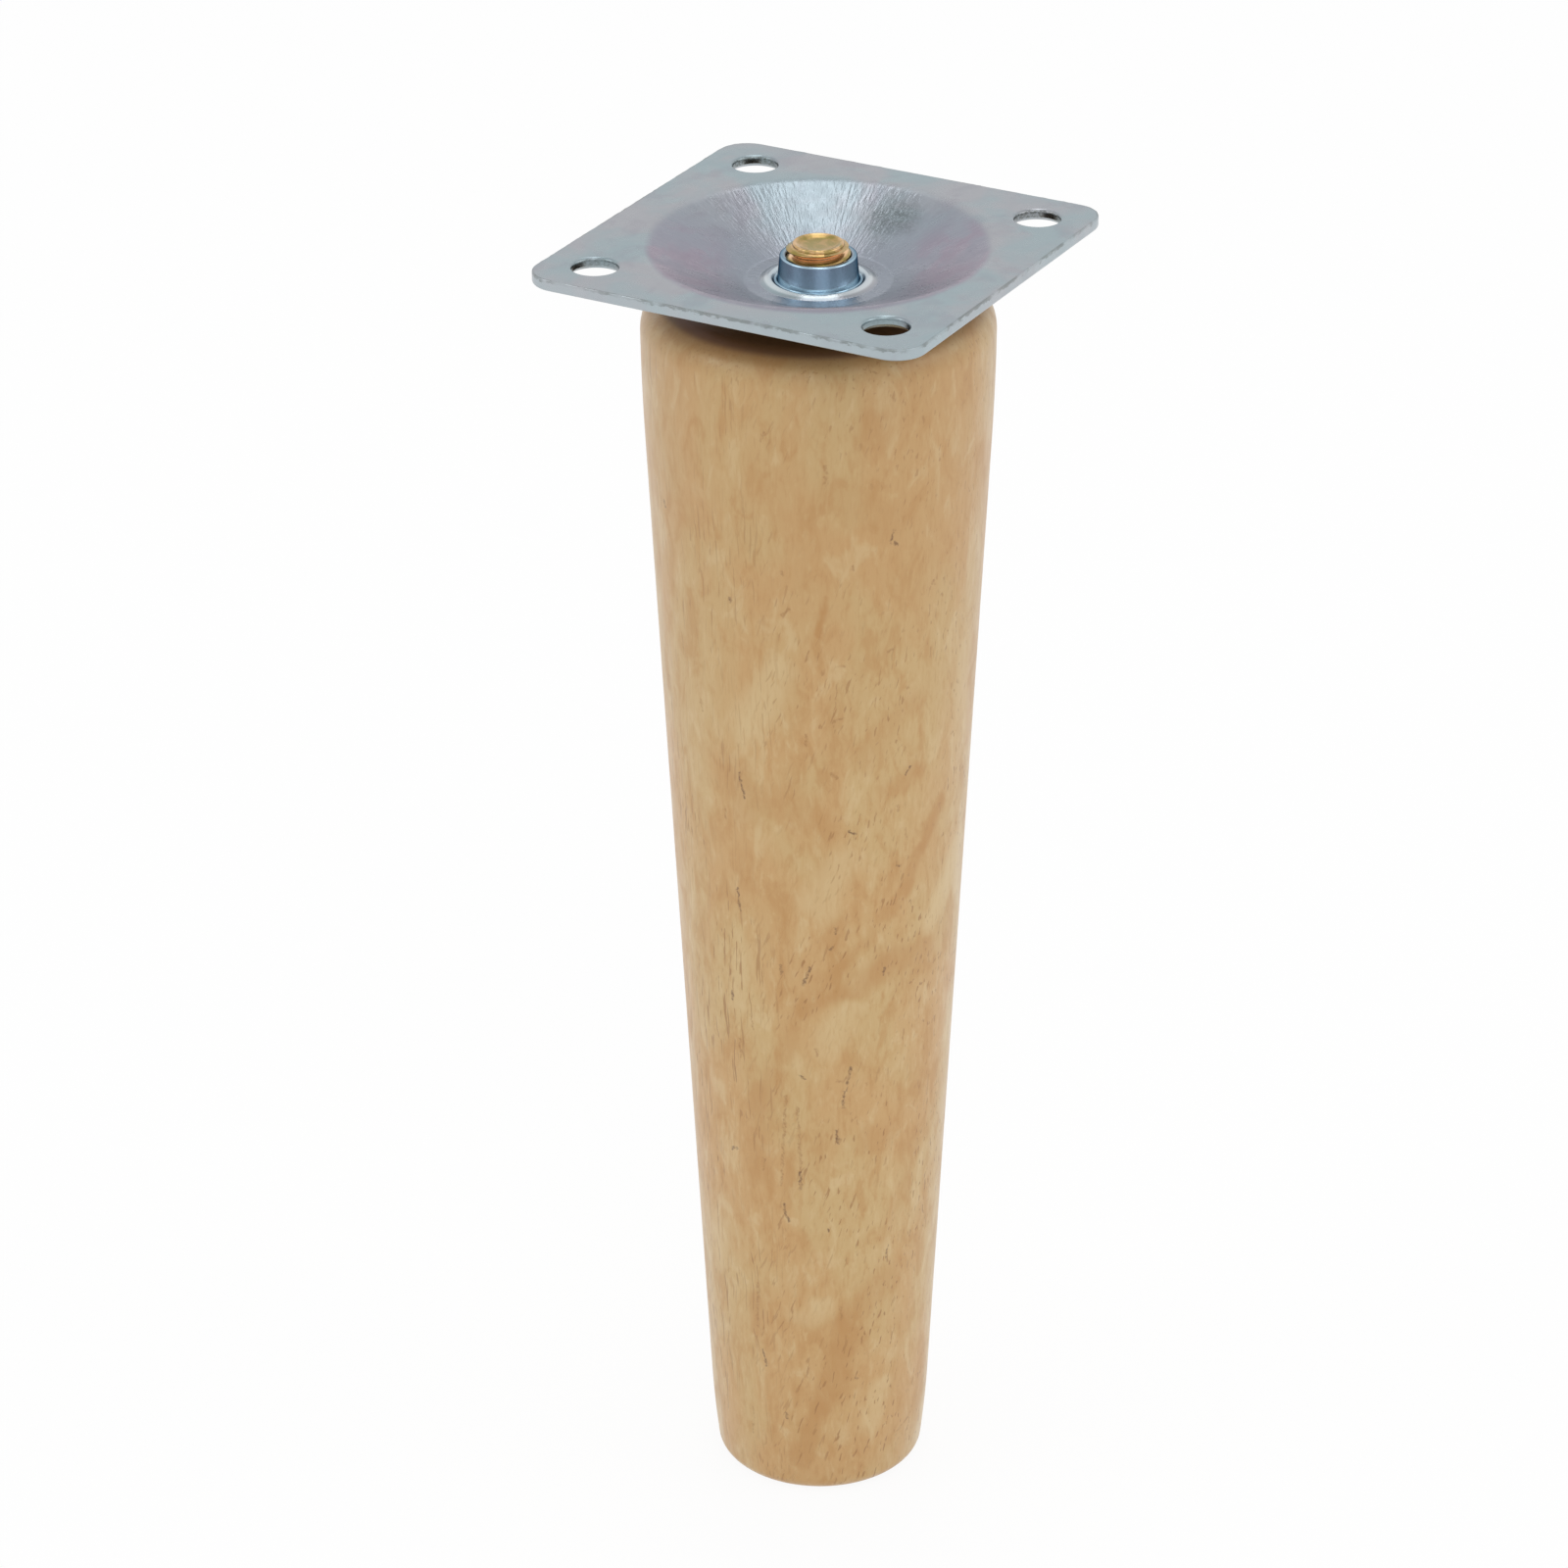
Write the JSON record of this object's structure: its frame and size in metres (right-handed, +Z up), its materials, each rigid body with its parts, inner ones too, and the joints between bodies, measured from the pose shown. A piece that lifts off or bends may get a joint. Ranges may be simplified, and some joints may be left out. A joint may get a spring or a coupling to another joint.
{
  "type": "wooden furniture leg",
  "caption": "Round tapered wooden furniture leg that screws by its hanger bolt into the collar of a dished square steel mounting plate.",
  "frame": {"origin": "centre of the foot, on the floor", "axes": "+Z up the leg's axis to the mounting plate, X and Y along the plate's sides"},
  "size_m": [0.0534, 0.0534, 0.1743],
  "materials": {
    "turned_wood": "pale rubberwood, sanded, thin satin varnish",
    "zinc_plate": "bright zinc plating on pressed steel, slightly blue and pink",
    "yellow_zinc": "yellow passivated zinc on steel"
  },
  "bodies": {
    "leg": {"wooden_leg": "turned_wood", "hanger_bolt": "yellow_zinc"},
    "plate": {"mounting_plate": "zinc_plate"}
  },
  "joints": [
    {"name": "plate_thread", "type": "hinge", "parent": "leg", "child": "plate", "pos_m": [0, 0, 0.1709], "axis": [0, 0, 1], "range_deg": [0, 1915.2]}
  ]
}
